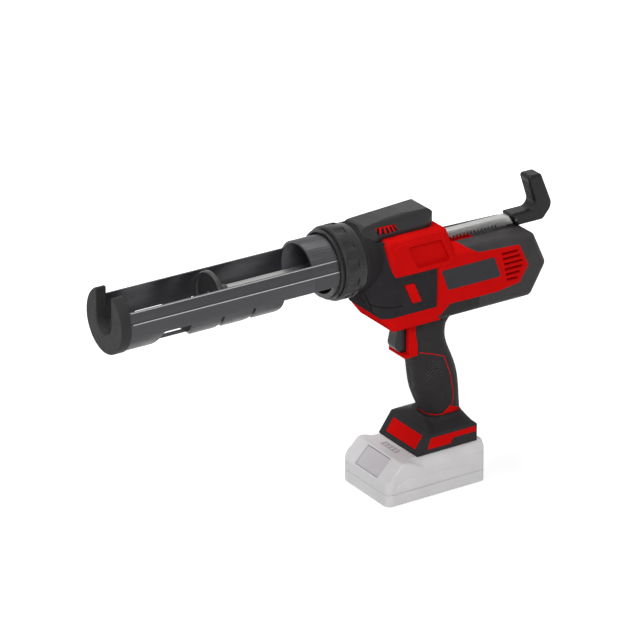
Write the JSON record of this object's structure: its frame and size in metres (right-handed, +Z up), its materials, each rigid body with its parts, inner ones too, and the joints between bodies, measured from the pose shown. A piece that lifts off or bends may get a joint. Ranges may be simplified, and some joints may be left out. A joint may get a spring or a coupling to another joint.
{
  "type": "cordless caulking gun",
  "caption": "Cordless caulking gun: open cartridge cradle, toothed push rod with pull hook, red and black pistol body, trigger, and a slide-on battery pack.",
  "frame": {"origin": "centre of the battery pack's underside", "axes": "+Z up, -X towards the nozzle end of the cradle, -Y the tool's left side, which the picture shows"},
  "size_m": [0.4783, 0.076, 0.2825],
  "materials": {
    "black_plastic": "fine-grained charcoal black",
    "red_plastic": "satin strong red",
    "soft_grip": "soft matt black over-moulding",
    "cradle_black": "smooth charcoal black",
    "piston_black": "dark coated",
    "hook_black": "black with a soft sheen",
    "rod_steel": "bright drawn steel",
    "gear_steel": "machined, oiled",
    "motor_steel": "rolled can",
    "dark_steel": "blackened",
    "bronze": "sintered, oiled",
    "motor_cap": "moulded, plain",
    "plate_dark": "bare dark plate",
    "board_green": "laminate",
    "contact_brass": "stamped",
    "pack_grey": "pale grey, fine-grained",
    "pack_latch": "grey",
    "pack_gauge": "grey",
    "cell_wrap": "shrink-wrapped"
  },
  "bodies": {
    "housing": {"gear_housing": "black_plastic", "top_cover": "black_plastic", "dial_sensor": "motor_cap", "left_shell": "red_plastic", "right_shell": "red_plastic", "rear_bumper": "soft_grip", "grip_cover_left": "soft_grip", "grip_cover_right": "soft_grip", "foot_cover": "black_plastic", "foot_trim": "red_plastic", "name_plate": "plate_dark", "motor_can": "motor_steel", "motor_end_cap": "motor_cap", "gearbox": "gear_steel", "shaft_bearings": "gear_steel", "worm_bearing": "bronze", "rod_bush_front": "bronze", "rod_bush_rear": "bronze", "trigger_switch": "motor_cap", "control_board": "board_green", "terminal_block": "motor_cap", "terminal_blades": "contact_brass", "shell_screws": "dark_steel"},
    "cradle": {"cartridge_cradle": "cradle_black", "cradle_front": "cradle_black", "cradle_sleeve": "cradle_black"},
    "lock_ring": {"lock_ring": "black_plastic"},
    "push_rod": {"rack_rod": "rod_steel", "piston_plate": "piston_black", "piston_hub": "piston_black", "piston_screw": "dark_steel", "pull_hook": "hook_black", "hook_pin": "dark_steel"},
    "drive_shaft": {"drive_shaft": "gear_steel", "drive_pinion": "gear_steel", "worm_wheel": "bronze"},
    "worm": {"worm": "gear_steel"},
    "trigger": {"trigger": "black_plastic"},
    "lock_button": {"lock_button": "red_plastic"},
    "speed_dial": {"speed_dial": "red_plastic"},
    "battery": {"battery_lower_case": "pack_grey", "battery_upper_case": "pack_grey", "battery_gauge": "pack_gauge", "battery_cells": "cell_wrap", "battery_board": "board_green", "battery_contacts": "contact_brass", "battery_screws": "dark_steel"},
    "battery_latch": {"battery_latch": "pack_latch"}
  },
  "joints": [
    {"name": "cradle_turn", "type": "hinge", "parent": "housing", "child": "cradle", "pos_m": [-0.2, 0, 0.2435], "axis": [1, 0, 0], "continuous": true},
    {"name": "ring_turn", "type": "hinge", "parent": "housing", "child": "lock_ring", "pos_m": [-0.09, 0, 0.2435], "axis": [1, 0, 0], "continuous": true},
    {"name": "rod_slide", "type": "slide", "parent": "housing", "child": "push_rod", "axis": [-1, 0, 0], "range_m": [-0.118, 0.074]},
    {"name": "pinion_spin", "type": "hinge", "parent": "housing", "child": "drive_shaft", "pos_m": [-0.02, 0, 0.2279], "axis": [0, 1, 0], "continuous": true},
    {"name": "worm_spin", "type": "hinge", "parent": "housing", "child": "worm", "pos_m": [-0.02, 0.0072, 0.2061], "axis": [1, 0, 0], "continuous": true},
    {"name": "trigger_pull", "type": "slide", "parent": "housing", "child": "trigger", "axis": [1, 0, 0], "range_m": [0, 0.0065], "stiffness_N_per_m": 1200, "springref_m": -0.003},
    {"name": "button_press", "type": "slide", "parent": "housing", "child": "lock_button", "axis": [0, 1, 0], "range_m": [0, 0.002], "stiffness_N_per_m": 1500, "springref_m": -0.001},
    {"name": "dial_turn", "type": "hinge", "parent": "housing", "child": "speed_dial", "pos_m": [-0.044, 0, 0.272], "axis": [0, 0, 1], "range_deg": [-135, 135]},
    {"name": "battery_slide", "type": "slide", "parent": "housing", "child": "battery", "axis": [-1, 0, 0], "range_m": [0, 0.08]},
    {"name": "latch_press", "type": "slide", "parent": "battery", "child": "battery_latch", "axis": [0.721, 0, -0.6929], "range_m": [0, 0.002], "stiffness_N_per_m": 1500, "springref_m": -0.001}
  ],
  "couplings": [
    {"joint": "pinion_spin", "follows": "rod_slide", "rad_per_m": -88.889},
    {"joint": "worm_spin", "follows": "rod_slide", "rad_per_m": -2133.3}
  ]
}
